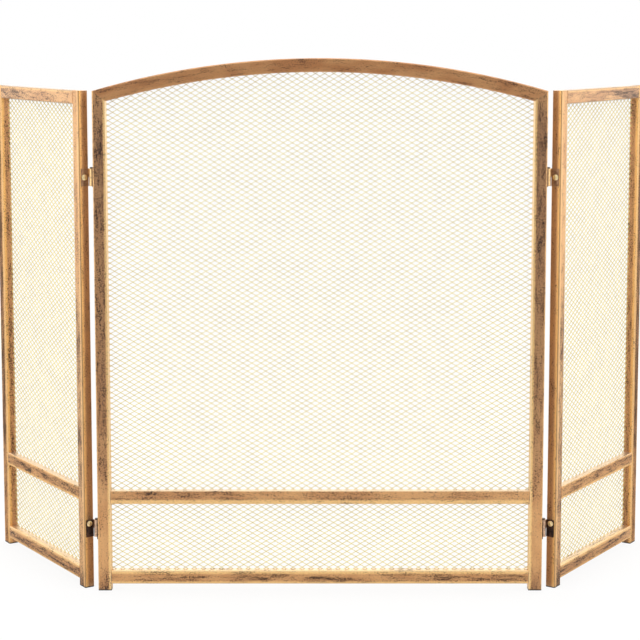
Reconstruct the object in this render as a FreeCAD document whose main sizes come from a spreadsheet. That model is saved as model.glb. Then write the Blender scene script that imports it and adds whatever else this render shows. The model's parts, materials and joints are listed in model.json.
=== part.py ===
import FreeCAD, Part
import math
import os

import Sketcher
from FreeCAD import Vector

# A folding three-panel fireplace screen: a centre panel with an arched top, and a rectangular
# panel hinged to each side of it. Each panel is a welded frame of rectangular tube around a
# sheet of expanded metal.
#
# Frame of the model: +X to the right, +Z up and +Y towards the fire. The origin is on the
# floor, in the middle of the screen's box as it stands with its sides folded back. The left
# half is modelled and mirrored to the right.

DIMENSIONS = [
    # alias, value in mm or degrees, note
    ("overall_height", 737, "floor to the top of the arch"),
    ("shoulder_height", 693, "floor to the centre corners and to the side panels' tops"),
    ("centre_width", 616, "centre panel, outside the stiles"),
    ("side_width", 279, "side panel, outside the stiles"),
    ("tube_width", 18.5, "tube section, seen from the front"),
    ("tube_depth", 14, "tube section, front to back"),
    ("tube_wall", 1, "tube wall"),
    ("tube_corner", 1.5, "outside corner radius of the tube"),
    ("foot_rise", 9.5, "floor to the underside of the bottom rails"),
    ("mid_rail_rise", 122.8, "floor to the underside of the mid rails"),
    ("mid_rail_depth", 11, "front to back of the mid rails, which stand in front of the mesh"),
    ("mesh_setback", 11, "front of the tubes to the front of the mesh"),
    ("mesh_thickness", 0.6, "expanded-metal sheet"),
    ("plug_cap", 1.5, "foot plug outside the tube"),
    ("plug_insert", 12, "foot plug inside the tube"),
    ("plug_slack", 0.1, "between the foot plug and the tube's inside"),
    ("rest_fold", 56.8, "side panels at rest, folded back from flat"),
    ("hinge_gap", 7, "between the stiles with a side panel opened flat"),
    ("hinge_setback", 3, "back of the tubes to the hinge axis"),
    ("hinge_height", 24, "both knuckles together"),
    ("hinge_slack", 0.3, "between the knuckles, and below the pin's head"),
    ("upper_hinge_middle", 575, "floor to the middle of the upper hinges"),
    ("lower_hinge_middle", 84.5, "floor to the middle of the lower hinges"),
    ("leaf_thickness", 1.2, "hinge leaf"),
    ("leaf_reach", 14.5, "hinge axis to the leaf's free edge"),
    ("leaf_notch", 3.3, "hinge axis to the leaf's edge beside the other leaf's knuckle"),
    ("pin_radius", 1.5, "hinge pin"),
    ("pin_slack", 0.05, "radial clearance in the turning knuckle"),
    ("pin_head_radius", 2.4, "hinge pin's head"),
    ("pin_head_height", 1.6, "hinge pin's head"),
    ("screw_head_radius", 4, "domed screw in the moving leaf"),
    ("screw_head_height", 2.8, "domed screw, leaf to crown"),
    ("screw_rim_height", 1.2, "domed screw, straight part of the head's edge"),
    ("screw_shank_radius", 2, "domed screw"),
    ("screw_length", 8, "domed screw, under the head"),
    ("recess_width", 1.1, "each arm of the cross recess"),
    ("recess_length", 4.6, "across the cross recess"),
    ("recess_depth", 1.6, "crown to the floor of the cross recess"),
    ("upper_screw_rise", 0, "middle of an upper hinge to its screw"),
    ("lower_screw_rise", 7, "middle of a lower hinge to its screw"),
    ("rivet_head_radius", 3, "rivets in the fixed leaf"),
    ("rivet_head_height", 1, "rivets, leaf to crown"),
    ("rivet_rim_height", 0.3, "rivets, straight part of the head's edge"),
    ("rivet_shank_radius", 1.6, "rivets in the fixed leaf"),
    ("rivet_length", 5, "rivets, under the head"),
    ("rivet_rise", 7, "middle of a hinge to each rivet"),
    ("hole_slack", 0.1, "radial clearance of the screw and rivet holes"),
]

# how much longer than the arc between the shoulders the arch rail is bent, for the mitres to trim
ARC_OVERLENGTH = 1.03
# how far the arch rail's trimming outline stands clear of the tube, in tube widths
TRIM_CLEARANCE = 3
# mm3, less than the smallest cut takes away
LEAST_CUT = 1e-3

doc = FreeCAD.newDocument("fireplace_screen")
dims = doc.addObject("Spreadsheet::Sheet", "dims")
for row, (alias, value, note) in enumerate(DIMENSIONS, start=1):
    dims.set(f"A{row}", note)
    dims.set(f"B{row}", str(value))
    dims.setAlias(f"B{row}", alias)
doc.recompute()

# ---- Worked-out sizes, as expressions on the sheet --------------------------------------------

HALF_CENTRE = "(dims.centre_width / 2)"
HALF_OPENING = f"({HALF_CENTRE} - dims.tube_width)"
ARCH_RISE = "(dims.overall_height - dims.shoulder_height)"
ARCH_RADIUS = f"(({HALF_CENTRE} ^ 2 + {ARCH_RISE} ^ 2) / (2 * {ARCH_RISE}))"
ARCH_INNER_RADIUS = f"({ARCH_RADIUS} - dims.tube_width)"
ARCH_CENTRE_Z = f"(dims.overall_height - {ARCH_RADIUS})"
# height of the opening's top corners above the arch's centre, and how far the mitre at the
# shoulder drops from its outer end to there
OPENING_CORNER = f"sqrt({ARCH_INNER_RADIUS} ^ 2 - {HALF_OPENING} ^ 2)"
ARCH_MITRE_DROP = f"(dims.shoulder_height - {ARCH_CENTRE_Z} - {OPENING_CORNER})"

BOTTOM_RAIL_TOP = "(dims.foot_rise + dims.tube_width)"
MID_RAIL_TOP = "(dims.mid_rail_rise + dims.tube_width)"
STILE_LENGTH = "(dims.shoulder_height - dims.plug_cap)"
SIDE_STILE_LENGTH = f"({STILE_LENGTH} - dims.tube_wall)"
TOP_CAP_FOOT = "(dims.shoulder_height - dims.tube_wall)"

# the side panel's outer back corner is the screen's rearmost point
OVERALL_DEPTH = (
    "(dims.tube_depth + dims.hinge_setback"
    " + (dims.hinge_gap / 2 + dims.side_width - dims.tube_corner) * sin(dims.rest_fold)"
    " - (dims.hinge_setback + dims.tube_corner) * cos(dims.rest_fold) + dims.tube_corner)"
)
FRONT_Y = f"(-{OVERALL_DEPTH} / 2)"
HINGE_X = f"(-{HALF_CENTRE} - dims.hinge_gap / 2)"
HINGE_Y = f"({FRONT_Y} + dims.tube_depth + dims.hinge_setback)"

# in the side panel's own frame, whose origin is its hinge line
PANEL_INNER_X = "(-dims.hinge_gap / 2)"
PANEL_OUTER_X = f"({PANEL_INNER_X} - dims.side_width)"
PANEL_OPENING_X = f"({PANEL_OUTER_X} + dims.tube_width)"
PANEL_OPENING = "(dims.side_width - 2 * dims.tube_width)"
PANEL_FRONT_Y = "(-dims.hinge_setback - dims.tube_depth)"

KNUCKLE_RADIUS = "(dims.hinge_gap / 2)"
KNUCKLE_HEIGHT = "((dims.hinge_height - dims.hinge_slack) / 2)"
LEAF_FACE = f"({KNUCKLE_RADIUS} - dims.leaf_thickness)"
FASTENER_Y = "(-dims.hinge_setback - dims.tube_depth / 2)"
SCREW_HOLE_RADIUS = "(dims.screw_shank_radius + dims.hole_slack)"
RIVET_HOLE_RADIUS = "(dims.rivet_shank_radius + dims.hole_slack)"


# ---- Placements -------------------------------------------------------------------------------


def placed(x=0, y=0, z=0, axis=(0, 0, 1), angle=0):
    """The expression of a placement: a turn about an axis, then a move."""
    turn = f"rotation(vector({axis[0]}; {axis[1]}; {axis[2]}); {angle})"
    return f"placement(vector({x}; {y}; {z}); {turn})"


AT_CENTRE_PANEL = placed(y=FRONT_Y)
AT_HINGE_LINE = placed(HINGE_X, HINGE_Y)
AT_SIDE_PANEL = placed(HINGE_X, HINGE_Y, angle="-dims.rest_fold")


def upright(x, y, z):
    """Something that stands along +Z, with its drilled side towards -X."""
    return placed(x, y, z)


def upright_turned(x, y, z):
    """The same turned half round, with its drilled side towards +X."""
    return placed(x, y, z, angle=180)


def along_x(x, y, top):
    """A tube along +X, below a given height."""
    return placed(x, y, top, axis=(0, 1, 0), angle=90)


# ---- Sketch helpers ---------------------------------------------------------------------------


def origin_feature(body, role):
    return next(f for f in body.Origin.OriginFeatures if f.Role == role)


def new_body(label):
    body = doc.addObject("PartDesign::Body", label)
    body.Label = label
    return body


def new_sketch(body, name, role, offset="0"):
    """A sketch on one of the body's origin planes, or a given distance off it."""
    sketch = body.newObject("Sketcher::SketchObject", f"{body.Label}_{name}")
    sketch.AttachmentSupport = (origin_feature(body, role), [""])
    sketch.MapMode = "FlatFace"
    sketch.setExpression("AttachmentOffset.Base.z", offset)
    return sketch


def value_of(expression):
    """The value of an expression on the sheet, for a sketch's first guess."""
    return float(dims.evalExpression(expression))


def bind(sketch, constraint, expression):
    index = sketch.addConstraint(constraint)
    name = f"size_{index}"
    sketch.renameConstraint(index, name)
    sketch.setExpression(f"Constraints.{name}", expression)


def add_rounded_rectangle(sketch, low_x, low_y, width, height, radius):
    x0, y0 = value_of(low_x), value_of(low_y)
    x1, y1 = x0 + value_of(width), y0 + value_of(height)
    r = value_of(radius)
    first = sketch.GeometryCount
    sides = [
        (Vector(x0 + r, y0), Vector(x1 - r, y0)),
        (Vector(x1, y0 + r), Vector(x1, y1 - r)),
        (Vector(x1 - r, y1), Vector(x0 + r, y1)),
        (Vector(x0, y1 - r), Vector(x0, y0 + r)),
    ]
    # the corner that follows each side, and the direction in which its arc starts
    corners = [
        (Vector(x1 - r, y0 + r), -90),
        (Vector(x1 - r, y1 - r), 0),
        (Vector(x0 + r, y1 - r), 90),
        (Vector(x0 + r, y0 + r), 180),
    ]
    for start, end in sides:
        sketch.addGeometry(Part.LineSegment(start, end), False)
    for middle, degrees in corners:
        circle = Part.Circle(middle, Vector(0, 0, 1), r)
        start = math.radians(degrees)
        sketch.addGeometry(Part.ArcOfCircle(circle, start, start + math.pi / 2), False)
    for i in range(4):
        line, arc, following = first + i, first + 4 + i, first + (i + 1) % 4
        sketch.addConstraint(Sketcher.Constraint("Tangent", line, 2, arc, 1))
        sketch.addConstraint(Sketcher.Constraint("Tangent", arc, 2, following, 1))
        sketch.addConstraint(Sketcher.Constraint(("Horizontal", "Vertical")[i % 2], line))
    for i in range(1, 4):
        sketch.addConstraint(Sketcher.Constraint("Equal", first + 4, first + 4 + i))
    bottom, right, top, left = first, first + 1, first + 2, first + 3
    bind(sketch, Sketcher.Constraint("Radius", first + 4, r), radius)
    bind(sketch, Sketcher.Constraint("DistanceX", -1, 1, left, 1, x0), low_x)
    bind(sketch, Sketcher.Constraint("DistanceY", -1, 1, bottom, 1, y0), low_y)
    bind(sketch, Sketcher.Constraint("DistanceX", left, 1, right, 1, x1 - x0), width)
    bind(sketch, Sketcher.Constraint("DistanceY", bottom, 1, top, 1, y1 - y0), height)


def add_polygon(sketch, points):
    """A closed outline through points, each a pair of expressions."""
    first = sketch.GeometryCount
    count = len(points)
    ends = [Vector(value_of(x), value_of(y)) for x, y in points]
    for i in range(count):
        sketch.addGeometry(Part.LineSegment(ends[i], ends[(i + 1) % count]), False)
    for i, (x, y) in enumerate(points):
        following = first + (i + 1) % count
        sketch.addConstraint(Sketcher.Constraint("Coincident", first + i, 2, following, 1))
        bind(sketch, Sketcher.Constraint("DistanceX", -1, 1, first + i, 1, ends[i].x), x)
        bind(sketch, Sketcher.Constraint("DistanceY", -1, 1, first + i, 1, ends[i].y), y)


def add_circle(sketch, x, y, radius):
    middle = Vector(value_of(x), value_of(y))
    index = sketch.GeometryCount
    sketch.addGeometry(Part.Circle(middle, Vector(0, 0, 1), value_of(radius)), False)
    bind(sketch, Sketcher.Constraint("Radius", index, value_of(radius)), radius)
    bind(sketch, Sketcher.Constraint("DistanceX", -1, 1, index, 3, middle.x), x)
    bind(sketch, Sketcher.Constraint("DistanceY", -1, 1, index, 3, middle.y), y)


def pad(body, sketch, length):
    feature = body.newObject("PartDesign::Pad", f"{sketch.Label}_pad")
    feature.Profile = sketch
    feature.setExpression("Length", length)
    doc.recompute()
    return feature


def pocket_through(body, sketch):
    """A cut right through the body, both ways from the sketch."""
    before = body.Shape.Volume
    feature = body.newObject("PartDesign::Pocket", f"{sketch.Label}_pocket")
    feature.Profile = sketch
    feature.Type = "ThroughAll"
    feature.Midplane = True
    doc.recompute()
    check_cut(body, sketch, before)


def pocket_forward(body, sketch, length):
    """A cut of a given depth, along the sketch's normal."""
    before = body.Shape.Volume
    feature = body.newObject("PartDesign::Pocket", f"{sketch.Label}_pocket")
    feature.Profile = sketch
    feature.Type = "Length"
    feature.Reversed = True
    feature.setExpression("Length", length)
    doc.recompute()
    check_cut(body, sketch, before)


def check_cut(body, sketch, volume_before):
    if body.Shape.Volume > volume_before - LEAST_CUT:
        raise RuntimeError(f"{sketch.Label} cuts nothing")


# ---- Tubes ------------------------------------------------------------------------------------


def add_tube_section(sketch, low_x, low_y, width, height):
    """The tube's outline and its inside, as one closed ring."""
    wall = "dims.tube_wall"
    add_rounded_rectangle(sketch, low_x, low_y, width, height, "dims.tube_corner")
    add_rounded_rectangle(
        sketch,
        f"{low_x} + {wall}",
        f"{low_y} + {wall}",
        f"{width} - 2 * {wall}",
        f"{height} - 2 * {wall}",
        f"dims.tube_corner - {wall}",
    )


def mitre_outline(length, drop):
    """What a mitre removes from the top of a tube. The mitre starts at the tube's end on its
    outer side, x = 0, and has come down by drop on the inner side."""
    wide = "dims.tube_width"
    return [
        (f"-{wide}", f"{length} + {drop}"),
        (f"2 * {wide}", f"{length} - 2 * {drop}"),
        (f"2 * {wide}", f"{length} + 2 * {wide}"),
        (f"-{wide}", f"{length} + 2 * {wide}"),
    ]


def tube(label, length, placement, depth="dims.tube_depth", mitre=None, holes=(), radius=None):
    """A straight tube along its own Z, its front at y = 0. mitre is how far a mitre at its top
    comes down, and holes has the heights of the holes in its outer side."""
    body = new_body(label)
    section = new_sketch(body, "section", "XY_Plane")
    add_tube_section(section, "0", "0", "dims.tube_width", depth)
    pad(body, section, length)
    if mitre:
        cut = new_sketch(body, "mitre", "XZ_Plane")
        add_polygon(cut, mitre_outline(length, mitre))
        pocket_through(body, cut)
    if holes:
        drill = new_sketch(body, "holes", "YZ_Plane")
        for height in holes:
            add_circle(drill, f"{depth} / 2", height, radius)
        pocket_forward(body, drill, "2 * dims.tube_wall")
    body.setExpression("Placement", placement)
    return body


def arch_rail(label):
    """The same tube rolled to an arc, and mitred to the stiles. Its frame is at the arc's
    centre."""
    body = new_body(label)
    section = new_sketch(body, "section", "YZ_Plane")
    add_tube_section(section, "0", ARCH_INNER_RADIUS, "dims.tube_depth", "dims.tube_width")
    bend = body.newObject("PartDesign::Revolution", f"{label}_bend")
    bend.Profile = section
    bend.ReferenceAxis = (origin_feature(body, "Y_Axis"), [""])
    bend.Midplane = True
    bend.setExpression("Angle", f"{ARC_OVERLENGTH} * 2 * asin({HALF_CENTRE} / {ARCH_RADIUS})")
    doc.recompute()
    trim = new_sketch(body, "mitres", "XZ_Plane")
    for side in ("", "-"):
        reach = f"{TRIM_CLEARANCE} * dims.tube_width"
        fall = f"{TRIM_CLEARANCE} * {ARCH_MITRE_DROP}"
        outer_x = f"{side}({HALF_CENTRE} + {reach})"
        outer_z = f"dims.shoulder_height - {ARCH_CENTRE_Z} + {fall}"
        inner_x = f"{side}({HALF_OPENING} - {reach})"
        inner_z = f"{OPENING_CORNER} - {fall}"
        add_polygon(trim, [(outer_x, outer_z), (inner_x, inner_z), (outer_x, inner_z)])
    pocket_through(body, trim)
    body.setExpression("Placement", placed(y=FRONT_Y, z=ARCH_CENTRE_Z))
    return body


def end_plate(label, thickness):
    """A flat piece with the tube's outline, which lies on z = 0."""
    body = new_body(label)
    outline = new_sketch(body, "outline", "XY_Plane")
    add_rounded_rectangle(
        outline, "0", "0", "dims.tube_width", "dims.tube_depth", "dims.tube_corner"
    )
    pad(body, outline, thickness)
    return body


def top_cap(label, placement):
    """A plate that closes the top of a stile."""
    body = end_plate(label, "dims.tube_wall")
    body.setExpression("Placement", placement)
    return body


def foot_plug(label, placement):
    """A plastic plug: a plate with the tube's outline, and an insert that fills its inside."""
    body = end_plate(label, "dims.plug_cap")
    inset = "(dims.tube_wall + dims.plug_slack)"
    insert = new_sketch(body, "insert", "XY_Plane", "dims.plug_cap")
    add_rounded_rectangle(
        insert,
        inset,
        inset,
        f"dims.tube_width - 2 * {inset}",
        f"dims.tube_depth - 2 * {inset}",
        "dims.tube_corner - dims.tube_wall",
    )
    pad(body, insert, "dims.plug_insert")
    body.setExpression("Placement", placement)
    return body


# ---- Primitives -------------------------------------------------------------------------------


def primitive(kind, name, sizes, placement=None):
    shape = doc.addObject(f"Part::{kind}", name)
    for size, expression in sizes.items():
        shape.setExpression(size, expression)
    if placement:
        shape.setExpression("Placement", placement)
    return shape


def combine(kind, name, base, tool):
    result = doc.addObject(f"Part::{kind}", name)
    result.Base = base
    result.Tool = tool
    return result


def sheet_box(name, low_x, low_z, width, height):
    sizes = {"Length": width, "Width": "dims.mesh_thickness", "Height": height}
    return primitive("Box", name, sizes, placed(low_x, "dims.mesh_setback", low_z))


# ---- Mesh sheets ------------------------------------------------------------------------------


def centre_mesh(label):
    """A flat sheet that fills the centre opening, its top cut to the arch."""
    height = f"dims.overall_height - {BOTTOM_RAIL_TOP}"
    width = f"2 * {HALF_OPENING}"
    blank = sheet_box(f"{label}_blank", f"-{HALF_OPENING}", BOTTOM_RAIL_TOP, width, height)
    disc = primitive(
        "Cylinder",
        f"{label}_disc",
        {"Radius": ARCH_INNER_RADIUS, "Height": "dims.tube_depth"},
        placed(z=ARCH_CENTRE_Z, y="dims.tube_depth", axis=(1, 0, 0), angle=90),
    )
    sheet = combine("Common", label, blank, disc)
    sheet.setExpression("Placement", AT_CENTRE_PANEL)
    return sheet


def side_mesh(label):
    height = f"dims.shoulder_height - dims.tube_width - {BOTTOM_RAIL_TOP}"
    sizes = {"Length": PANEL_OPENING, "Width": "dims.mesh_thickness", "Height": height}
    setback = f"{PANEL_FRONT_Y} + dims.mesh_setback"
    place = f"{AT_SIDE_PANEL} * {placed(PANEL_OPENING_X, setback, BOTTOM_RAIL_TOP)}"
    return primitive("Box", label, sizes, place)


# ---- Hinges -----------------------------------------------------------------------------------


def hinge_leaf(label, bore_radius, holes, hole_radius, placement):
    """A leaf with its knuckle in the lower half. Its frame is on the hinge axis at the foot of
    the hinge, and its plate lies along the stile on the +X side. The other leaf of a hinge is
    the same piece turned end for end."""
    body = new_body(label)
    plate = new_sketch(body, "plate", "YZ_Plane", LEAF_FACE)
    edge = "-dims.leaf_reach"
    notch = "-dims.leaf_notch"
    outline = [
        (edge, "0"),
        ("0", "0"),
        ("0", KNUCKLE_HEIGHT),
        (notch, KNUCKLE_HEIGHT),
        (notch, "dims.hinge_height"),
        (edge, "dims.hinge_height"),
    ]
    add_polygon(plate, outline)
    for height in holes:
        add_circle(plate, FASTENER_Y, height, hole_radius)
    pad(body, plate, "dims.leaf_thickness")
    knuckle = new_sketch(body, "knuckle", "XY_Plane")
    add_circle(knuckle, "0", "0", KNUCKLE_RADIUS)
    pad(body, knuckle, KNUCKLE_HEIGHT)
    bore = new_sketch(body, "bore", "XY_Plane")
    add_circle(bore, "0", "0", bore_radius)
    pocket_through(body, bore)
    body.setExpression("Placement", placement)
    return body


def hinge_pin(label, placement):
    shank_length = "dims.hinge_height + dims.hinge_slack"
    shank = primitive(
        "Cylinder", f"{label}_shank", {"Radius": "dims.pin_radius", "Height": shank_length}
    )
    head = primitive(
        "Cylinder",
        f"{label}_head",
        {"Radius": "dims.pin_head_radius", "Height": "dims.pin_head_height"},
        placed(z=shank_length),
    )
    pin = combine("Fuse", label, shank, head)
    pin.setExpression("Placement", placement)
    return pin


def domed_fastener(label, kind):
    """A domed head above z = 0 and a plain shank below it, sized by the sheet's rows for kind."""
    radius = f"dims.{kind}_head_radius"
    height = f"dims.{kind}_head_height"
    crown = f"({height} - dims.{kind}_rim_height)"
    dome_radius = f"(({radius} ^ 2 + {crown} ^ 2) / (2 * {crown}))"
    disc = primitive("Cylinder", f"{label}_disc", {"Radius": radius, "Height": height})
    dome = primitive(
        "Sphere", f"{label}_dome", {"Radius": dome_radius}, placed(z=f"{height} - {dome_radius}")
    )
    head = combine("Common", f"{label}_head", disc, dome)
    shank = primitive(
        "Cylinder",
        f"{label}_shank",
        {"Radius": f"dims.{kind}_shank_radius", "Height": f"dims.{kind}_length"},
        placed(z=f"-dims.{kind}_length"),
    )
    return combine("Fuse", f"{label}_blank", head, shank)


def hinge_screw(label, placement):
    """A domed screw with a cross recess, its head towards its own +Z."""
    blank = domed_fastener(label, "screw")
    half = "(dims.recess_length / 2)"
    thin = "(dims.recess_width / 2)"
    floor = "dims.screw_head_height - dims.recess_depth"
    arms = []
    for name, along, across in (("arm_a", half, thin), ("arm_b", thin, half)):
        sizes = {"Length": f"2 * {along}", "Width": f"2 * {across}", "Height": "dims.recess_depth"}
        corner = placed(f"-{along}", f"-{across}", floor)
        arms.append(primitive("Box", f"{label}_{name}", sizes, corner))
    recess = combine("Fuse", f"{label}_recess", *arms)
    screw = combine("Cut", label, blank, recess)
    screw.setExpression("Placement", placement)
    return screw


def rivet_pair(label, heights, placement):
    """The rivets of one leaf, their heads towards -X in the hinge's frame."""
    rivets = []
    for name, height in zip(("lower", "upper"), heights):
        rivet = domed_fastener(f"{label}_{name}", "rivet")
        rivet.setExpression(
            "Placement", placed(LEAF_FACE, FASTENER_Y, height, axis=(0, 1, 0), angle=-90)
        )
        rivets.append(rivet)
    pair = doc.addObject("Part::Compound", label)
    pair.Links = rivets
    pair.setExpression("Placement", placement)
    return pair


def hinge(name, middle, screw_rise):
    """The pieces of one left-hand hinge, whose middle is at a given height."""
    foot = f"{middle} - dims.hinge_height / 2"
    head = f"{middle} + dims.hinge_height / 2"
    half = "dims.hinge_height / 2"
    rivet_heights = [f"{half} - dims.rivet_rise", f"{half} + dims.rivet_rise"]
    fixed = f"{AT_HINGE_LINE} * {placed(z=foot)}"
    # the moving leaf is turned end for end, so its heights are counted from the top
    turned = f"{AT_SIDE_PANEL} * {placed(z=head, axis=(0, 1, 0), angle=180)}"
    screw_at = placed(f"-{LEAF_FACE}", FASTENER_Y, f"{middle} + {screw_rise}", (0, 1, 0), 90)
    turning_bore = "(dims.pin_radius + dims.pin_slack)"
    return [
        hinge_leaf(f"{name}_fixed_leaf", "dims.pin_radius", rivet_heights, RIVET_HOLE_RADIUS, fixed),
        hinge_leaf(
            f"{name}_moving_leaf", turning_bore, [f"{half} - {screw_rise}"], SCREW_HOLE_RADIUS, turned
        ),
        hinge_pin(f"{name}_pin", fixed),
        hinge_screw(f"{name}_screw", f"{AT_SIDE_PANEL} * {screw_at}"),
        rivet_pair(f"{name}_rivets", rivet_heights, fixed),
    ]


# ---- The screen -------------------------------------------------------------------------------

HINGES = [
    ("left_upper_hinge", "dims.upper_hinge_middle", "dims.upper_screw_rise"),
    ("left_lower_hinge", "dims.lower_hinge_middle", "dims.lower_screw_rise"),
]


def on_centre(placement):
    return f"{AT_CENTRE_PANEL} * {placement}"


def on_side(placement):
    return f"{AT_SIDE_PANEL} * {placement}"


def centre_pieces():
    """The pieces that the centre panel has once, which cross its middle."""
    opening = f"2 * {HALF_OPENING}"
    left = f"-{HALF_OPENING}"
    return [
        arch_rail("centre_arch_rail"),
        tube(
            "centre_mid_rail",
            opening,
            on_centre(along_x(left, 0, MID_RAIL_TOP)),
            depth="dims.mid_rail_depth",
        ),
        tube("centre_bottom_rail", opening, on_centre(along_x(left, 0, BOTTOM_RAIL_TOP))),
        centre_mesh("centre_mesh"),
    ]


def left_pieces():
    """The left half of the centre panel's pairs, the left panel and its hinges."""
    centre_x = f"-{HALF_CENTRE}"
    rivet_holes = []
    screw_holes = []
    for _, middle, screw_rise in HINGES:
        for sign in ("-", "+"):
            rivet_holes.append(f"{middle} {sign} dims.rivet_rise - dims.plug_cap")
        screw_holes.append(f"{middle} + {screw_rise} - dims.plug_cap")
    cap = "dims.plug_cap"
    back = "(-dims.hinge_setback)"
    pieces = [
        tube(
            "centre_stile_left",
            STILE_LENGTH,
            on_centre(upright(centre_x, 0, cap)),
            mitre=ARCH_MITRE_DROP,
            holes=rivet_holes,
            radius=RIVET_HOLE_RADIUS,
        ),
        foot_plug("centre_foot_plug_left", on_centre(upright(centre_x, 0, 0))),
        tube(
            "left_inner_stile",
            SIDE_STILE_LENGTH,
            on_side(upright_turned(PANEL_INNER_X, back, cap)),
            holes=screw_holes,
            radius=SCREW_HOLE_RADIUS,
        ),
        tube(
            "left_outer_stile",
            SIDE_STILE_LENGTH,
            on_side(upright(PANEL_OUTER_X, PANEL_FRONT_Y, cap)),
        ),
        top_cap("left_inner_top_cap", on_side(upright_turned(PANEL_INNER_X, back, TOP_CAP_FOOT))),
        top_cap(
            "left_outer_top_cap", on_side(upright(PANEL_OUTER_X, PANEL_FRONT_Y, TOP_CAP_FOOT))
        ),
        tube(
            "left_top_rail",
            PANEL_OPENING,
            on_side(along_x(PANEL_OPENING_X, PANEL_FRONT_Y, "dims.shoulder_height")),
        ),
        tube(
            "left_mid_rail",
            PANEL_OPENING,
            on_side(along_x(PANEL_OPENING_X, PANEL_FRONT_Y, MID_RAIL_TOP)),
            depth="dims.mid_rail_depth",
        ),
        tube(
            "left_bottom_rail",
            PANEL_OPENING,
            on_side(along_x(PANEL_OPENING_X, PANEL_FRONT_Y, BOTTOM_RAIL_TOP)),
        ),
        side_mesh("left_mesh"),
        foot_plug("left_inner_foot_plug", on_side(upright_turned(PANEL_INNER_X, back, 0))),
        foot_plug("left_outer_foot_plug", on_side(upright(PANEL_OUTER_X, PANEL_FRONT_Y, 0))),
    ]
    for name, middle, screw_rise in HINGES:
        pieces += hinge(name, middle, screw_rise)
    return pieces


def mirrored(piece):
    """The right-hand partner of a left-hand piece."""
    label = piece.Label.replace("left", "right")
    partner = doc.addObject("Part::Mirroring", label)
    partner.Label = label
    partner.Source = piece
    partner.Normal = Vector(1, 0, 0)
    return partner


left = left_pieces()
doc.recompute()
nodes = centre_pieces() + left + [mirrored(piece) for piece in left]
doc.recompute()

# ---- Checks and export ------------------------------------------------------------------------

for item in doc.Objects:
    if "Invalid" in item.State or "Error" in item.State:
        raise RuntimeError(f"{item.Label} failed: {item.State}")
for node in nodes:
    if node.Shape.isNull() or not node.Shape.isValid():
        raise RuntimeError(f"{node.Label} has no valid shape")

os.makedirs("parts", exist_ok=True)
for node in nodes:
    node.Shape.exportStep(os.path.join("parts", f"{node.Label}.step"))
print(f"{len(nodes)} nodes")
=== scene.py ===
import json
import math

import bmesh
import bpy
from mathutils import Matrix, Vector

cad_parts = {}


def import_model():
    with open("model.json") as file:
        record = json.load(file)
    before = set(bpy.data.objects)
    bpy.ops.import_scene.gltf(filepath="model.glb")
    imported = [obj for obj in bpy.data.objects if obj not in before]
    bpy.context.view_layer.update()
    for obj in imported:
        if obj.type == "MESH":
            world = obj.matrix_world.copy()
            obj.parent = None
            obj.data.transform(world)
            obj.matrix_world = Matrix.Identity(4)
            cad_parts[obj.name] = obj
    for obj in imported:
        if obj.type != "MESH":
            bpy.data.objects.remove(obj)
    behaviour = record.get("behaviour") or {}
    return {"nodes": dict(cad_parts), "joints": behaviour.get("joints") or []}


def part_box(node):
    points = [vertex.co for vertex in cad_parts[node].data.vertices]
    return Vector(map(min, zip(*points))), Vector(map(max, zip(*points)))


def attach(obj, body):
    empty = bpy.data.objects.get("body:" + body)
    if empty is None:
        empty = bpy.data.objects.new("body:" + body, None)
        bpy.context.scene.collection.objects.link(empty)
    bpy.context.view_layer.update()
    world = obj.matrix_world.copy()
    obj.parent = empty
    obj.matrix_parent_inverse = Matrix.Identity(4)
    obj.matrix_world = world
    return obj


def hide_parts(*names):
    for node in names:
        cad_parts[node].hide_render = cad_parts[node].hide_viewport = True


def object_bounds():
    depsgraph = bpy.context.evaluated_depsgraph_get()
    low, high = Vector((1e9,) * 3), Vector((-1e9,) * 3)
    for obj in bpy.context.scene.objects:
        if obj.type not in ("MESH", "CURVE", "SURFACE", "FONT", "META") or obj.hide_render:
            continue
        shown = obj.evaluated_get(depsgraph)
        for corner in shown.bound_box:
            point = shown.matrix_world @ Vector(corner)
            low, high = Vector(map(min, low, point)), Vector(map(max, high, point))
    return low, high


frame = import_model()
cad_low, cad_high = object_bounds()

# A folding fireplace screen. Everything is in metres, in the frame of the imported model: +X to
# the right, +Y towards the fire, +Z up, with the floor at z = 0.

# ---- Sizes read from the frame ----------------------------------------------------------------

MM = 0.001
SIDES = {"left": -1, "right": 1}
NODES = frame["nodes"]

joints = {joint["name"]: joint for joint in frame["joints"]}
FOLD = math.radians(-joints["left_fold"]["range_deg"][0])

stile_low, stile_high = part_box("centre_stile_left")
TUBE_WIDTH = stile_high.x - stile_low.x
TUBE_DEPTH = stile_high.y - stile_low.y
HALF_CENTRE = -stile_low.x
HALF_OPENING = HALF_CENTRE - TUBE_WIDTH
FRONT_Y = stile_low.y
SHOULDER_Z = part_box("left_top_rail")[1].z
APEX_Z = cad_high.z
ARCH_RADIUS = (HALF_CENTRE**2 + (APEX_Z - SHOULDER_Z) ** 2) / (2 * (APEX_Z - SHOULDER_Z))
ARCH_CENTRE_Z = APEX_Z - ARCH_RADIUS
BOTTOM_RAIL_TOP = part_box("centre_bottom_rail")[1].z
MESH_Y = sum(corner.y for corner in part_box("centre_mesh")) / 2


def panel_matrix(side):
    """From a side panel's own frame, whose origin is on its hinge line, to the row frame. Its
    X points away from the hinge line."""
    hinge = Vector(joints[f"{side}_fold"]["pos_m"])
    turn = Matrix.Rotation(SIDES[side] * FOLD, 4, "Z")
    return Matrix.Translation(hinge) @ turn @ Matrix.Scale(SIDES[side], 4, (1, 0, 0))


def panel_point(side, node):
    """The middle of a node of a side panel, in the panel's own frame."""
    low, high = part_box(node)
    return panel_matrix(side).inverted() @ ((low + high) / 2)


# ---- Node graphs ------------------------------------------------------------------------------

SIDE_BLEND = 1.0 * MM  # half the width over which one side of a tube fades into the other


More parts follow.
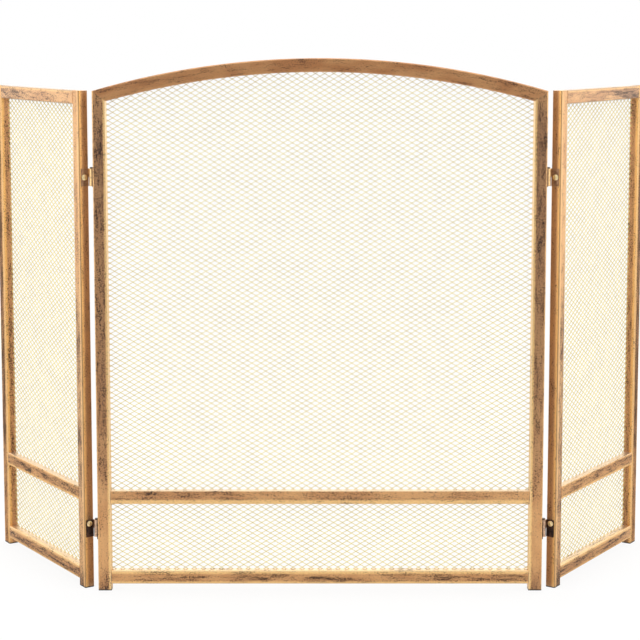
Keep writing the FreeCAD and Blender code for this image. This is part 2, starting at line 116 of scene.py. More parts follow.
class Graph:
    """The shader of one material, with a short call for each kind of node used here."""

    def __init__(self, name):
        self.material = bpy.data.materials.new(name)
        self.material.use_nodes = True
        self.tree = self.material.node_tree
        self.tree.nodes.clear()

    def node(self, kind, inputs=(), **settings):
        made = self.tree.nodes.new(kind)
        for name, value in settings.items():
            setattr(made, name, value)
        for key, value in dict(inputs).items():
            self.feed(made.inputs[key], value)
        return made

    def feed(self, socket, value):
        if isinstance(value, bpy.types.NodeSocket):
            self.tree.links.new(value, socket)
        else:
            socket.default_value = value

    def math(self, operation, *values):
        made = self.node("ShaderNodeMath", operation=operation)
        for socket, value in zip(made.inputs, values):
            self.feed(socket, value)
        return made.outputs[0]

    def smooth(self, value, low, high, start=0.0, end=1.0):
        """start where value is under low, end where it is over high, and smooth between."""
        inputs = {"Value": value, "From Min": low, "From Max": high, "To Min": start, "To Max": end}
        made = self.node("ShaderNodeMapRange", inputs, interpolation_type="SMOOTHSTEP")
        return made.outputs["Result"]

    def profile(self, value, points):
        """A curve that eases through points, each a pair of a value and the result there."""
        total = points[0][1]
        for (low, start), (high, end) in zip(points, points[1:]):
            total = self.math("ADD", self.smooth(value, low, high, 0.0, end - start), total)
        return total

    def mix(self, factor, first, second):
        made = self.node("ShaderNodeMix", data_type="RGBA")
        self.feed(made.inputs[0], factor)
        self.feed(made.inputs[6], first)
        self.feed(made.inputs[7], second)
        return made.outputs[2]

    def noise(self, vector, scale, detail, roughness):
        inputs = {"Vector": vector, "Scale": scale, "Detail": detail, "Roughness": roughness}
        return self.node("ShaderNodeTexNoise", inputs).outputs["Fac"]

    def stretch(self, vector, factors, offset):
        """A vector scaled along each axis, then moved."""
        made = self.node("ShaderNodeVectorMath", operation="MULTIPLY_ADD")
        self.feed(made.inputs[0], vector)
        made.inputs[1].default_value = factors
        made.inputs[2].default_value = offset
        return made.outputs[0]

    def object_point(self):
        return self.node("ShaderNodeTexCoord").outputs["Object"]

    def sided(self, across, pair):
        """The first of a pair where across is negative, and the second where it is not."""
        return self.smooth(across, -SIDE_BLEND, SIDE_BLEND, *pair)

    def split(self, vector):
        made = self.node("ShaderNodeSeparateXYZ", {"Vector": vector})
        return made.outputs[0], made.outputs[1], made.outputs[2]

    def join(self, x, y, z):
        return self.node("ShaderNodeCombineXYZ", {"X": x, "Y": y, "Z": z}).outputs[0]

    def bump(self, height, distance, strength):
        inputs = {"Height": height, "Distance": distance, "Strength": strength}
        return self.node("ShaderNodeBump", inputs).outputs["Normal"]

    def finish(self, **inputs):
        """The surface shader, with its inputs by name. Underscores stand for spaces."""
        shader = self.node("ShaderNodeBsdfPrincipled")
        for name, value in inputs.items():
            self.feed(shader.inputs[name.replace("_", " ")], value)
        output = self.node("ShaderNodeOutputMaterial")
        self.tree.links.new(shader.outputs[0], output.inputs["Surface"])
        return self.material

    def panel_coordinates(self, side):
        """The row frame's point as seen in a side panel's own frame."""
        back = panel_matrix(side).inverted()
        point = self.object_point()
        rows = []
        for row in range(3):
            made = self.node("ShaderNodeVectorMath", operation="DOT_PRODUCT")
            self.feed(made.inputs[0], point)
            made.inputs[1].default_value = back[row][:3]
            rows.append(self.math("ADD", made.outputs["Value"], back[row][3]))
        return rows


# ---- The worn copper finish of the tubes, with painted highlights and shade -------------------

COPPER = (0.82, 0.48, 0.215, 1)
RUST = (0.5, 0.215, 0.085, 1)
GOLD = (0.98, 0.65, 0.28, 1)
AMBER = (0.82, 0.43, 0.11, 1)
# CREAM is a painted highlight, on the rounded corners and on the rails' narrow faces
CREAM = (0.77, 0.64, 0.46, 1)
PALE_HIGHLIGHT = (0.86, 0.76, 0.62, 1)
TAN = (0.47, 0.275, 0.15, 1)
DULL = (0.31, 0.163, 0.09, 1)
BROWN = (0.19, 0.11, 0.07, 1)
UMBER = (0.05, 0.03, 0.024, 1)

# Each pattern's scales across, into and along the tube, then its detail and its roughness.
STREAKS = (300, 300, 40), 3.0, 0.6
CLOUDS = (60, 60, 20), 2.0, 0.5
SPECKS = (820, 820, 600), 2.0, 0.6
GRIT = (1300, 1300, 1100), 1.0, 0.5
SEED_SHIFT = (1.7, 0.9, 2.3)

# Where a change begins and where it ends: from a narrow face to a wide one, from the front of a
# narrow face to its back, from a rubbed edge with its painted highlight inwards, from a face's
# border to its middle, from a rounded corner to the flat face, and from copper to a bare patch.
FLANK_EDGE = (0.2 * MM, 0.9 * MM)
FLANK_FRONT = (1.5 * MM, 6.5 * MM)
RUBBED_AND_HIGHLIT_EDGE = (2.2 * MM, 5.0 * MM)
FACE_MIDDLE = (2.2 * MM, 5.6 * MM)
ROUNDED_CORNER = (1.0 * MM, 1.7 * MM)
BARE_PATCHES = (0.35, 0.61)

RAGGED_BY = 3.0 * MM
SPECK_WEIGHT = 3.1
CLOUD_WEIGHT = 0.8
FLANK_WEIGHT = 0.8
RELIEF = 0.12 * MM

# rust is how red the copper is, stain how brown it is where the base shows, lean how much more of
# the base shows for each millimetre across, and streaks how streaky it is. rub_and_highlight is
# how many millimetres further in than usual the copper is rubbed bright and given a painted
# highlight, and gilt_and_highlight how bright. corner is how pale the rounded corners are, a
# painted highlight, and line how dark. flank and flank_back are the two narrow faces' colours
# near the front and further back, flank_stain_and_shade is how brown they are, partly stain and
# partly painted shade, flank_cover how much of the base shows there, and depth how dark the base
# is. glance is the colour of what the metal reflects at a glancing angle. A pair is for the
# negative and the positive side.
STANDARD_LOOK = {
    "rust": 0.3,
    "stain": 0.3,
    "lean": 0.0,
    "streaks": 1.4,
    "rub_and_highlight": (0.0, 0.0),
    "gilt_and_highlight": 0.8,
    "corner": (0.3, 0.3),
    "line": (0.0, 0.0),
    "flank": AMBER,
    "flank_back": TAN,
    "flank_stain_and_shade": (0.0, 0.0),
    "flank_cover": (0.2, 0.2),
    "depth": 0.9,
    "glance": (0.92, 0.86, 0.78, 1),
}


def worn_copper_with_highlights(name, coordinates, seed, cover, **look):
    """Copper-gold brushed over a dark brown base, with painted highlights on the rubbed edges,
    the rounded corners and the rails' narrow faces. coordinates makes (across, deep, along) in
    the tube's own frame. cover has pairs of a distance along the tube and how much of the base
    shows there, seed moves the pattern, and look has what differs from STANDARD_LOOK."""
    look = {**STANDARD_LOOK, **look}
    graph = Graph(name)
    across, deep, along = coordinates(graph)
    point = graph.join(across, deep, along)
    shift = [seed * step for step in SEED_SHIFT]

    def pattern(factors, detail, roughness):
        return graph.noise(graph.stretch(point, factors, shift), 1.0, detail, roughness)

    streaks = pattern(*STREAKS)
    clouds = pattern(*CLOUDS)
    specks = pattern(*SPECKS)
    grit = pattern(*GRIT)

    # inset is how far in from the nearest corner, beside is 1 on the two narrow faces, and behind
    # is how far back from the front face
    from_side = graph.math("SUBTRACT", TUBE_WIDTH / 2, graph.math("ABSOLUTE", across))
    from_front = graph.math("SUBTRACT", TUBE_DEPTH / 2, graph.math("ABSOLUTE", deep))
    inset = graph.math("MAXIMUM", from_side, from_front)
    beside = graph.smooth(from_side, *FLANK_EDGE, 1.0, 0.0)
    behind = graph.math("ADD", deep, TUBE_DEPTH / 2)

    # the narrow faces are rubbed, and given their painted highlights, only towards the front
    further_back = graph.smooth(behind, *FLANK_FRONT)
    rub_and_highlight_area = graph.math("SUBTRACT", 1.0, graph.math("MULTIPLY", beside, further_back))
    reach = graph.sided(across, [MM * value for value in look["rub_and_highlight"]])
    ragged = graph.math("MULTIPLY_ADD", specks, RAGGED_BY, graph.math("SUBTRACT", inset, reach))
    rubbed_and_highlit = graph.math("MULTIPLY", graph.smooth(ragged, *RUBBED_AND_HIGHLIT_EDGE, 1.0, 0.0), rub_and_highlight_area)
    middle = graph.smooth(ragged, *FACE_MIDDLE)
    rounded = graph.math("MULTIPLY", graph.smooth(inset, *ROUNDED_CORNER, 1.0, 0.0), rub_and_highlight_area)

    # how much of the dark base shows, and the patches where it does
    face_cover = graph.math("MULTIPLY_ADD", across, look["lean"] / MM, graph.profile(along, cover))
    face_cover = graph.math("MULTIPLY", face_cover, middle)
    flank_cover = graph.math("MULTIPLY", further_back, graph.sided(across, look["flank_cover"]))
    showing = graph.node("ShaderNodeMix", {"Factor": beside, "A": face_cover, "B": flank_cover})
    uneven = showing.outputs[0]
    weights = ((specks, SPECK_WEIGHT), (streaks, look["streaks"]), (clouds, CLOUD_WEIGHT))
    for value, weight in weights:
        centred = graph.math("SUBTRACT", value, 0.5)
        uneven = graph.math("MULTIPLY_ADD", centred, weight, uneven)
    bare = graph.smooth(uneven, *BARE_PATCHES)

    # the copper, the narrow faces, the rubbed edges with their painted highlight, the base, and
    # last the corners, darkened and given their painted highlight
    reddened = graph.math("MULTIPLY_ADD", graph.smooth(clouds, 0.35, 0.65), 0.35, look["rust"])
    colour = graph.mix(reddened, COPPER, RUST)
    colour = graph.mix(graph.math("MULTIPLY", face_cover, look["stain"]), colour, DULL)
    flank = graph.mix(further_back, look["flank"], look["flank_back"])
    flank = graph.mix(graph.sided(across, look["flank_stain_and_shade"]), flank, DULL)
    colour = graph.mix(graph.math("MULTIPLY", beside, FLANK_WEIGHT), colour, flank)
    # the rubbed edges in gold: partly wear, partly a painted highlight kept to the lit side of some
    # tubes
    colour = graph.mix(graph.math("MULTIPLY", rubbed_and_highlit, look["gilt_and_highlight"]), colour, GOLD)
    base = graph.mix(graph.smooth(streaks, 0.42, 0.6), BROWN, UMBER)
    colour = graph.mix(graph.math("MULTIPLY", bare, look["depth"]), colour, base)
    colour = graph.mix(graph.smooth(grit, 0.48, 0.66, 0.0, 0.3), colour, BROWN)
    line = graph.math("MULTIPLY", rounded, graph.sided(across, look["line"]))
    colour = graph.mix(line, colour, BROWN)
    # the rounded corners in cream, a painted highlight
    corner = graph.math("MULTIPLY", rounded, graph.sided(across, look["corner"]))
    colour = graph.mix(corner, colour, CREAM)

    roughness = graph.math("MULTIPLY_ADD", bare, 0.14, 0.3)
    roughness = graph.math("MULTIPLY_ADD", specks, 0.12, roughness)
    height = graph.math("MULTIPLY_ADD", bare, -0.4, graph.math("ADD", specks, grit))
    normal = graph.bump(height, RELIEF, 0.7)
    return graph.finish(
        Base_Color=colour,
        Metallic=0.85,
        Roughness=roughness,
        Normal=normal,
        Specular_Tint=look["glance"],
        Coat_Weight=0.1,
        Coat_Roughness=0.3,
    )


def upright_coordinates(node):
    """Across is positive towards the middle of the screen."""
    low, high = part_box(node)
    middle = (low + high) / 2
    inward = -1 if middle.x > 0 else 1

    def make(graph):
        x, y, z = graph.split(graph.object_point())
        across = graph.math("MULTIPLY_ADD", x, inward, -inward * middle.x)
        return across, graph.math("SUBTRACT", y, middle.y), z

    return make


def level_coordinates(node):
    """Across is positive upwards."""
    low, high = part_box(node)
    middle_z = (low.z + high.z) / 2
    middle_y = (low.y + high.y) / 2

    def make(graph):
        x, y, z = graph.split(graph.object_point())
        return graph.math("SUBTRACT", z, middle_z), graph.math("SUBTRACT", y, middle_y), x

    return make


def arch_coordinates(node):
    """Across is positive outwards."""
    low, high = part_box(node)
    middle_y = (low.y + high.y) / 2
    middle_radius = ARCH_RADIUS - TUBE_WIDTH / 2

    def make(graph):
        x, y, z = graph.split(graph.object_point())
        up = graph.math("SUBTRACT", z, ARCH_CENTRE_Z)
        squares = graph.math("MULTIPLY_ADD", up, up, graph.math("MULTIPLY", x, x))
        radius = graph.math("SQRT", squares)
        angle = graph.math("ARCTAN2", x, up)
        return (
            graph.math("SUBTRACT", radius, middle_radius),
            graph.math("SUBTRACT", y, middle_y),
            graph.math("MULTIPLY", angle, middle_radius),
        )

    return make


def panel_upright_coordinates(side, node):
    """Across is positive away from the hinge line."""
    middle = panel_point(side, node)

    def make(graph):
        x, y, z = graph.panel_coordinates(side)
        return graph.math("SUBTRACT", x, middle.x), graph.math("SUBTRACT", y, middle.y), z

    return make


def panel_level_coordinates(side, node):
    """Across is positive upwards."""
    middle = panel_point(side, node)

    def make(graph):
        x, y, z = graph.panel_coordinates(side)
        return graph.math("SUBTRACT", z, middle.z), graph.math("SUBTRACT", y, middle.y), x

    return make


def dress(node, material):
    """Gives a carried-over CAD node its material."""
    slots = NODES[node].data.materials
    slots.clear()
    slots.append(material)


# How each tube looks. Distances along a tube are heights for the stiles, distances from the
# middle of the screen for the centre panel's rails, and from the hinge line for a side panel's.
# The rails' top and bottom faces are cream with no base showing: a painted highlight of the light
# from above.
CREAM_HIGHLIGHT_TOPS = {"flank": CREAM, "flank_back": CREAM, "flank_cover": (0.0, 0.0), "depth": 1.0}
CENTRE_STILE = {
    "cover": [
        (0.004, 0.4),
        (0.02, 0.2),
        (0.04, 0.05),
        (0.12, 0.05),
        (0.17, 0.28),
        (0.4, 0.38),
        (0.6, 0.48),
        (0.655, 0.48),
        (0.69, 0.28),
    ],
    "stain": 1.3,
    "lean": 0.01,
    "rub_and_highlight": (-1.5, 1.6),
    "gilt_and_highlight": 0.9,
    "corner": (0.0, 0.5),
    # the narrow face towards the mesh is clean gold, partly a painted reflection; the one towards
    # the side panel is browned with more base showing, partly painted shade
    "flank": GOLD,
    "flank_back": GOLD,
    "flank_stain_and_shade": (0.55, 0.0),
    "flank_cover": (0.35, 0.0),
    "depth": 1.0,
}
ARCH = {
    "cover": [(-0.28, 0.18), (0.0, 0.04), (0.28, 0.18)],
    "rust": 0.6,
    "streaks": 2.3,
    "rub_and_highlight": (-2.5, -2.5),
    "corner": (0.1, 0.1),
    "flank": RUST,
    "flank_back": RUST,
    "flank_cover": (0.1, 0.1),
    "depth": 0.85,
}
CENTRE_MID = {
    **CREAM_HIGHLIGHT_TOPS,
    "cover": [(0, 0.22)],
    "lean": -0.005,
    "rub_and_highlight": (3.6, -2.0),
    "corner": (0.4, 0.0),
}
CENTRE_BOTTOM = {
    **CREAM_HIGHLIGHT_TOPS,
    "cover": [(0, 0.28)],
    "lean": -0.015,
    "streaks": 2.2,
    "rub_and_highlight": (1.2, 2.2),
}
INNER_STILE = {
    "cover": [
        (0.004, 0.68),
        (0.03, 0.42),
        (0.12, 0.42),
        (0.17, 0.52),
        (0.35, 0.5),
        (0.45, 0.16),
        (0.65, 0.08),
    ],
    "rust": 0.1,
    "rub_and_highlight": (3.0, -1.5),
    "gilt_and_highlight": 0.4,
    "corner": (0.0, 0.1),
    "line": (0.6, 0.0),
    "flank_cover": (0.1, 0.2),
    "glance": (0.96, 0.92, 0.86, 1),
}
OUTER_STILE = {
    "cover": [(0.12, 0.4), (0.17, 0.72)],
    "stain": 0.9,
    "rub_and_highlight": (3.0, -0.2),
    "gilt_and_highlight": 0.5,
    "corner": (0.1, 0.2),
    "flank": (0.92, 0.48, 0.17, 1),
    "flank_back": (0.56, 0.3, 0.165, 1),
    "flank_cover": (0.32, 0.2),
    "glance": (0.66, 0.5, 0.36, 1),
}
SIDE_TOP = {
    "cover": [(0.03, 0.23), (0.15, 0.26), (0.2, 0.54), (0.235, 0.62), (0.26, 0.4)],
    "rust": 0.15,
    "rub_and_highlight": (-2.0, 1.0),
    "gilt_and_highlight": 0.5,
    "corner": (0.0, 0.0),
    "line": (0.0, 0.5),
    "flank": BROWN,
    "glance": (1, 1, 1, 1),
}
SIDE_RAIL = {**CREAM_HIGHLIGHT_TOPS, "cover": [(0, 0.38)], "gilt_and_highlight": 0.65, "corner": (0.2, 0.2)}
SIDE_MID = {
    **SIDE_RAIL,
    "streaks": 1.8,
    "rub_and_highlight": (1.4, -0.2),
    # the top and bottom faces pale, a painted highlight
    "flank": PALE_HIGHLIGHT,
    "flank_back": PALE_HIGHLIGHT,
    "glance": (0.82, 0.7, 0.56, 1),
}
SIDE_BOTTOM = {**SIDE_RAIL, "streaks": 2.6, "rub_and_highlight": (0.6, 2.0)}


def dress_tubes():
    centre = [
        ("centre_stile_left", upright_coordinates, CENTRE_STILE),
        ("centre_stile_right", upright_coordinates, CENTRE_STILE),
        ("centre_arch_rail", arch_coordinates, ARCH),
        ("centre_mid_rail", level_coordinates, CENTRE_MID),
        ("centre_bottom_rail", level_coordinates, CENTRE_BOTTOM),
    ]
    for seed, (node, coordinates, look) in enumerate(centre):
        dress(node, worn_copper_with_highlights(node, coordinates(node), seed, **look))
    sides = [
        ("inner_stile", panel_upright_coordinates, INNER_STILE),
        ("outer_stile", panel_upright_coordinates, OUTER_STILE),
        ("top_rail", panel_level_coordinates, SIDE_TOP),
        ("mid_rail", panel_level_coordinates, SIDE_MID),
        ("bottom_rail", panel_level_coordinates, SIDE_BOTTOM),
    ]
    seed = len(centre)
    for side in SIDES:
        for part, coordinates, look in sides:
            node = f"{side}_{part}"
            made = worn_copper_with_highlights(node, coordinates(side, node), seed, **look)
            dress(node, made)
            if part.endswith("stile"):
                dress(node.replace("stile", "top_cap"), made)
            seed += 1


# ---- Small hardware ---------------------------------------------------------------------------

GRAIN_SCALE = 900.0
PATCH_SCALE = 150.0
HINGE_PATCH_SCALE = 260.0
GRAIN_RELIEF = 0.06 * MM
PATCHES = (0.4, 0.65)
BARREL_PATCHES = (0.42, 0.65)
KNUCKLE_EDGE = (3.6 * MM, 4.2 * MM)

# Each metal or plastic has its colour, and its colour in patches.
PIN = (0.07, 0.055, 0.05, 1), (0.16, 0.12, 0.1, 1)
SCREW = (0.95, 0.8, 0.45, 1), (0.8, 0.58, 0.32, 1)
PLUG = (0.03, 0.027, 0.025, 1), (0.05, 0.045, 0.04, 1)

# A hinge has the plates' colour, their colour in patches, and the knuckles' colour. The lower
# hinges are the same parts as the upper ones; their nearly black plates and duller knuckles are
# painted shade.
HINGES = {
    "upper": ((0.42, 0.26, 0.155, 1), (0.26, 0.155, 0.095, 1), (0.96, 0.66, 0.32, 1)),
    "lower": ((0.1, 0.055, 0.04, 1), (0.03, 0.02, 0.018, 1), (0.75, 0.5, 0.34, 1)),
}


def grained(graph, point, roughness):
    """A gloss and a normal that vary in fine grains."""
    grain = graph.noise(point, GRAIN_SCALE, 3.0, 0.6)
    gloss = graph.math("MULTIPLY_ADD", grain, 0.25, roughness - 0.1)
    return gloss, graph.bump(grain, GRAIN_RELIEF, 0.5)


def plain_metal(name, base, patched, roughness, metallic=0.9):
    """A metal or a plastic with slightly uneven colour."""
    graph = Graph(name)
    point = graph.object_point()
    patches = graph.noise(point, PATCH_SCALE, 2.0, 0.5)
    colour = graph.mix(graph.smooth(patches, *PATCHES), base, patched)
    gloss, normal = grained(graph, point, roughness)
    return graph.finish(Base_Color=colour, Metallic=metallic, Roughness=gloss, Normal=normal)


def hinge_metal(name, side, plate, patched, barrel):
    """The metal of a leaf: one finish on the plate, and another, brighter, on the knuckle."""
    graph = Graph(name)
    point = graph.object_point()
    x, y, z = graph.split(point)
    hinge = joints[f"{side}_fold"]["pos_m"]
    dx = graph.math("SUBTRACT", x, hinge[0])
    dy = graph.math("SUBTRACT", y, hinge[1])
    squares = graph.math("MULTIPLY_ADD", dx, dx, graph.math("MULTIPLY", dy, dy))
    knuckle = graph.smooth(graph.math("SQRT", squares), *KNUCKLE_EDGE, 1.0, 0.0)
    patches = graph.noise(point, HINGE_PATCH_SCALE, 2.0, 0.5)
    colour = graph.mix(graph.smooth(patches, *PATCHES), plate, patched)
    turned = graph.mix(graph.smooth(patches, *BARREL_PATCHES, 0.0, 0.45), barrel, plate)
    colour = graph.mix(knuckle, colour, turned)
    gloss, normal = grained(graph, point, 0.4)
    return graph.finish(Base_Color=colour, Metallic=0.85, Roughness=gloss, Normal=normal)


def dress_hardware():
    pin = plain_metal("hinge_pin", *PIN, 0.4)
    screw = plain_metal("screw", *SCREW, 0.28)
    plug = plain_metal("foot_plug", *PLUG, 0.6, metallic=0.0)
    for side in SIDES:
        for level, colours in HINGES.items():
            hinge = f"{side}_{level}_hinge"
            leaf = hinge_metal(hinge, side, *colours)
            dress(f"{hinge}_fixed_leaf", leaf)
            dress(f"{hinge}_moving_leaf", leaf)
            dress(f"{hinge}_rivets", leaf)
            dress(f"{hinge}_pin", pin)
            dress(f"{hinge}_screw", screw)
        dress(f"centre_foot_plug_{side}", plug)
        dress(f"{side}_inner_foot_plug", plug)
        dress(f"{side}_outer_foot_plug", plug)


# ---- Expanded metal ---------------------------------------------------------------------------

# The pitches and an opening's half width and half height, the sheet's thickness, how far an
# opening's lower and upper corners lie in front of and behind the sheet's middle, and how far
# the sheet reaches into the tubes.
PITCH_X = 12.5 * MM
PITCH_Z = 7.5 * MM
HOLE_HALF_X = 5.6 * MM
HOLE_HALF_Z = 3.24 * MM
SHEET = 0.6 * MM
STRAND_TILT = 0.15 * MM
INTO_TUBE = 0.4 * MM
ARCH_CHORDS = 12

PAINT = (0.74, 0.62, 0.23, 1)
DULL_PAINT = (0.64, 0.52, 0.19, 1)
BOND_PAINT = (0.4, 0.27, 0.1, 1)
BOND_WEIGHT = 0.2
PAINT_RELIEF = 0.05 * MM


def gold_paint(name, coordinates):
    """Gold paint, dull and darker on the bonds where the strands meet."""
    graph = Graph(name)
    x, y, z = coordinates(graph)
    point = graph.join(x, y, z)
    wave_x = graph.math("COSINE", graph.math("MULTIPLY", x, 2 * math.pi / PITCH_X))
    wave_z = graph.math("COSINE", graph.math("MULTIPLY", z, 2 * math.pi / PITCH_Z))
    bond = graph.smooth(graph.math("MULTIPLY", wave_x, wave_z), -0.75, -0.97)
    patches = graph.noise(point, 55.0, 3.0, 0.6)
    grain = graph.noise(point, 1500.0, 2.0, 0.6)
    colour = graph.mix(graph.smooth(patches, 0.35, 0.7), PAINT, DULL_PAINT)
    colour = graph.mix(graph.math("MULTIPLY", bond, BOND_WEIGHT), colour, BOND_PAINT)
    gloss = graph.math("MULTIPLY_ADD", grain, 0.25, 0.4)
    normal = graph.bump(grain, PAINT_RELIEF, 0.4)
    return graph.finish(Base_Color=colour, Metallic=0.25, Roughness=gloss, Normal=normal)


def lattice(inside, half_width, height):
    """The vertices and faces of an expanded sheet in the plane y = 0, where inside(x, z) says
    which openings are made. Openings in each row are half a pitch along from the last row's.
    Each has four corners in front, and the same four behind."""
    holes = {}
    points = []
    row_count = int(height / (PITCH_Z / 2)) + 3
    column_count = int(half_width / PITCH_X) + 2
    corners = [
        (HOLE_HALF_X, 0.0, 0.0),
        (0.0, -STRAND_TILT, HOLE_HALF_Z),
        (-HOLE_HALF_X, 0.0, 0.0),
        (0.0, STRAND_TILT, -HOLE_HALF_Z),
    ]
    for row in range(row_count):
        z = (row - 1) * PITCH_Z / 2
        for column in range(-column_count, column_count + 1):
            x = (column + row % 2 / 2) * PITCH_X
            if not inside(x, z):
                continue
            holes[row, column] = len(points)
            for face in (-SHEET / 2, SHEET / 2):
                for dx, dy, dz in corners:
                    points.append((x + dx, face + dy, z + dz))
    behind = len(corners)
    right, top, left, bottom = range(behind)
    faces = []

    def both_sides(*front):
        faces.append(front)
        faces.append(tuple(index + behind for index in reversed(front)))

    for (row, column), here in holes.items():
        for corner in range(behind):
            first = here + corner
            second = here + (corner + 1) % behind
            faces.append((first, second, second + behind, first + behind))
        up_right = holes.get((row + 1, column + row % 2))
        up_left = holes.get((row + 1, column - 1 + row % 2))
        down_right = holes.get((row - 1, column + row % 2))
        beside = holes.get((row, column + 1))
        if up_right is not None:
            both_sides(here + right, up_right + bottom, up_right + left, here + top)
        if up_left is not None:
            both_sides(here + top, up_left + right, up_left + bottom, here + left)
        if None not in (beside, up_right, down_right):
            both_sides(here + right, down_right + top, beside + left, up_right + bottom)
    return points, faces


def trim(bm, point, normal):
    """Removes what lies beyond a plane."""
    beyond = [v for v in bm.verts if (v.co - point).dot(normal) > 0]
    faces = {face for v in beyond for face in v.link_faces}
    edges = {edge for v in beyond for edge in v.link_edges}
    edges |= {edge for face in faces for edge in face.edges}
    verts = {v for edge in edges for v in edge.verts}
    bmesh.ops.bisect_plane(
        bm,
        geom=list(verts) + list(edges) + list(faces),
        plane_co=point,
        plane_no=normal,
        clear_outer=True,
    )


def expanded_sheet(name, planes, half_width, height, matrix, material):
    """A sheet inside planes, each a pair of point and outward normal, put in place by matrix."""

    def inside(x, z):
        place = Vector((x, 0, z))
        return all((place - point).dot(normal) < PITCH_X for point, normal in planes)

    points, faces = lattice(inside, half_width + PITCH_X, height + PITCH_Z)
    mesh = bpy.data.meshes.new(name)
    mesh.from_pydata(points, [], faces)
    bm = bmesh.new()
    bm.from_mesh(mesh)
    for point, normal in planes:
        trim(bm, point, normal)
    loose = [v for v in bm.verts if not v.link_faces]
    bmesh.ops.delete(bm, geom=loose, context="VERTS")
    open_edges = [edge for edge in bm.edges if edge.is_boundary]
    bmesh.ops.holes_fill(bm, edges=open_edges, sides=0)
    bm.transform(matrix)
    bmesh.ops.recalc_face_normals(bm, faces=bm.faces)
    bm.to_mesh(mesh)
    bm.free()
    mesh.materials.append(material)
    sheet = bpy.data.objects.new(name, mesh)
    bpy.context.scene.collection.objects.link(sheet)
    return sheet


def edge_plane(x, z, across, up):
    """The plane through (x, z) that faces across and up."""
    return Vector((x, 0, z)), Vector((across, 0, up)).normalized()


def centre_sheet():
    half = HALF_OPENING + INTO_TUBE
    radius = ARCH_RADIUS - TUBE_WIDTH + INTO_TUBE
    planes = [
        edge_plane(-half, 0, -1, 0),
        edge_plane(half, 0, 1, 0),
        edge_plane(0, BOTTOM_RAIL_TOP - INTO_TUBE, 0, -1),
    ]
    reach = math.asin(half / radius)
    for chord in range(ARCH_CHORDS):
        angle = (2 * (chord + 0.5) / ARCH_CHORDS - 1) * reach
        across = math.sin(angle)
        up = math.cos(angle)
        planes.append(edge_plane(radius * across, ARCH_CENTRE_Z + radius * up, across, up))

    def coordinates(graph):
        return graph.split(graph.object_point())

    material = gold_paint("centre_gold", coordinates)
    high = ARCH_CENTRE_Z + radius
    place = Matrix.Translation((0, MESH_Y, 0))
    sheet = expanded_sheet("expanded_centre", planes, half, high, place, material)
    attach(sheet, "centre_panel")
    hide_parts("centre_mesh")


def side_sheet(side):
    middle = panel_point(side, f"{side}_mesh")
    inner = panel_point(side, f"{side}_inner_stile").x - middle.x
    half = abs(inner) - TUBE_WIDTH / 2 + INTO_TUBE
    high = SHOULDER_Z - TUBE_WIDTH + INTO_TUBE
    planes = [
        edge_plane(-half, 0, -1, 0),
        edge_plane(half, 0, 1, 0),
        edge_plane(0, BOTTOM_RAIL_TOP - INTO_TUBE, 0, -1),
        edge_plane(0, high, 0, 1),
    ]

    def coordinates(graph):
        x, y, z = graph.panel_coordinates(side)
        return graph.math("SUBTRACT", x, middle.x), y, z

    material = gold_paint(f"{side}_gold", coordinates)
    place = panel_matrix(side) @ Matrix.Translation((middle.x, middle.y, 0))
    sheet = expanded_sheet(f"expanded_{side}", planes, half, high, place, material)
    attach(sheet, f"{side}_panel")
    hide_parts(f"{side}_mesh")


# ---- Studio -----------------------------------------------------------------------------------

FLOOR_GREYS = (0.7, 0.7, 0.7, 1), (0.74, 0.74, 0.74, 1)
FLOOR_SEEN = (0.12, 0.12, 0.12, 1)
FLOOR_GLOW = 0.85


def floor():
    """Pale, and shown as nearly white with a faint shadow where the camera sees it."""
    graph = Graph("floor")
    grain = graph.noise(graph.object_point(), 3.0, 2.0, 0.5)
    colour = graph.mix(grain, *FLOOR_GREYS)
    seen = graph.node("ShaderNodeLightPath").outputs["Is Camera Ray"]
    material = graph.finish(
        Base_Color=graph.mix(seen, colour, FLOOR_SEEN),
        Roughness=0.9,
        Specular_IOR_Level=0.0,
        Emission_Color=(1, 1, 1, 1),
        Emission_Strength=graph.math("MULTIPLY", seen, FLOOR_GLOW),
    )
    left, right, front, back = -2.2, 2.2, -0.85, 2.6
    mesh = bpy.data.meshes.new("floor")
    corners = [(left, front, 0), (right, front, 0), (right, back, 0), (left, back, 0)]
    mesh.from_pydata(corners, [], [(0, 1, 2, 3)])
    mesh.materials.append(material)
    made = bpy.data.objects.new("floor", mesh)
    bpy.context.scene.collection.objects.link(made)


BACK_LIGHT = 2.0
SIDE_LIGHT = 1.15
FRONT_LIGHT = 0.66
UNDER_LIGHT = 0.8


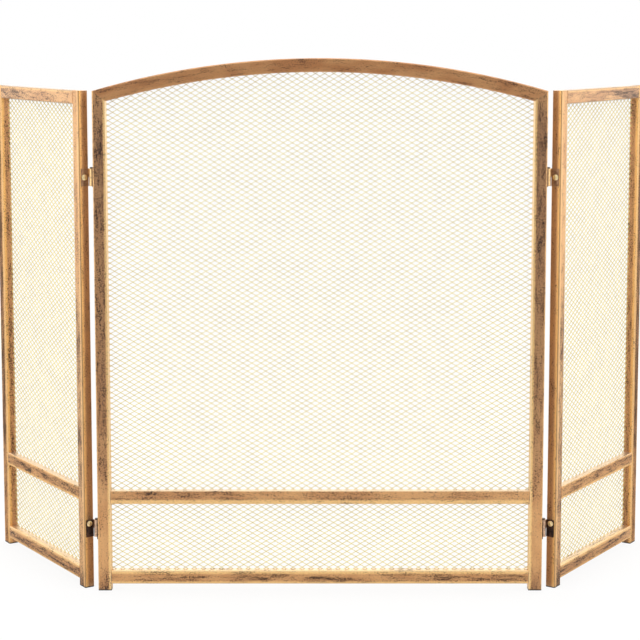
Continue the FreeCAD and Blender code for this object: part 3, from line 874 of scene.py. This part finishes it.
def world():
    """White where the camera sees it. The light it gives is brightest from behind the screen,
    white from the sides, and dimmer from the room and from below."""
    made = bpy.data.worlds.new("studio")
    bpy.context.scene.world = made
    made.use_nodes = True
    tree = made.node_tree
    tree.nodes.clear()
    new = tree.nodes.new
    link = tree.links.new
    direction = new("ShaderNodeTexCoord")
    parts = new("ShaderNodeSeparateXYZ")
    link(direction.outputs["Generated"], parts.inputs[0])

    def ease(socket, low, high, start, end):
        made = new("ShaderNodeMapRange")
        made.interpolation_type = "SMOOTHSTEP"
        made.inputs["From Min"].default_value = low
        made.inputs["From Max"].default_value = high
        made.inputs["To Min"].default_value = start
        made.inputs["To Max"].default_value = end
        link(socket, made.inputs["Value"])
        return made.outputs[0]

    def times(first, second):
        made = new("ShaderNodeMath")
        made.operation = "MULTIPLY"
        link(first, made.inputs[0])
        link(second, made.inputs[1])
        return made.outputs[0]

    front = ease(parts.outputs["Y"], -0.9, -0.3, FRONT_LIGHT / SIDE_LIGHT, 1.0)
    back = ease(parts.outputs["Y"], 0.2, 0.8, SIDE_LIGHT, BACK_LIGHT)
    under = ease(parts.outputs["Z"], -0.1, 0.0, UNDER_LIGHT, 1.0)
    lit = times(times(front, back), under)
    path = new("ShaderNodeLightPath")
    shown = new("ShaderNodeMix")
    link(path.outputs["Is Camera Ray"], shown.inputs[0])
    link(lit, shown.inputs[2])
    shown.inputs[3].default_value = 1.0
    background = new("ShaderNodeBackground")
    background.inputs["Color"].default_value = (1, 1, 1, 1)
    link(shown.outputs[0], background.inputs["Strength"])
    output = new("ShaderNodeOutputWorld")
    link(background.outputs[0], output.inputs["Surface"])


def softbox(name, place, target, size, watts):
    data = bpy.data.lights.new(name, "AREA")
    data.shape = "RECTANGLE"
    data.size, data.size_y = size
    data.energy = watts
    lamp = bpy.data.objects.new(name, data)
    lamp.location = place
    lamp.rotation_euler = (Vector(target) - Vector(place)).to_track_quat("-Z", "Y").to_euler()
    lamp.visible_camera = False
    bpy.context.scene.collection.objects.link(lamp)


def lights():
    softbox("overhead", place=(0, -0.2, 2.6), target=(0, 0, 0), size=(3.2, 2.4), watts=14)
    for name, side in SIDES.items():
        box_place = (2.4 * side, -0.9, 1.1)
        strip_place = (1.9 * side, -2.0, 0.9)
        softbox(f"{name}_box", box_place, target=(-0.3 * side, 0, 0.4), size=(1.2, 1.8), watts=8)
        softbox(f"{name}_strip", strip_place, target=(0, 0, 0.4), size=(0.5, 1.8), watts=9)


IMAGE_SIDE = 640
SENSOR = 36.0
FOCAL_PIXELS = 1810
CAMERA_DISTANCE = 2.445
CAMERA_HEIGHT = 0.779
CAMERA_TILT = math.radians(6.5)
CAMERA_SHIFT = -0.136


def camera():
    """In front of the screen, just above the arch's height, and tilted down a little."""
    data = bpy.data.cameras.new("camera")
    data.sensor_width = SENSOR
    data.lens = SENSOR * FOCAL_PIXELS / IMAGE_SIDE
    data.shift_y = CAMERA_SHIFT
    made = bpy.data.objects.new("camera", data)
    made.location = (0, FRONT_Y - CAMERA_DISTANCE, CAMERA_HEIGHT)
    made.rotation_euler = (math.pi / 2 - CAMERA_TILT, 0, 0)
    bpy.context.scene.collection.objects.link(made)
    bpy.context.scene.camera = made
    bpy.context.scene.view_settings.view_transform = "Standard"


# ---- The scene --------------------------------------------------------------------------------

dress_tubes()
dress_hardware()
centre_sheet()
for side_name in SIDES:
    side_sheet(side_name)
floor()
world()
lights()
camera()
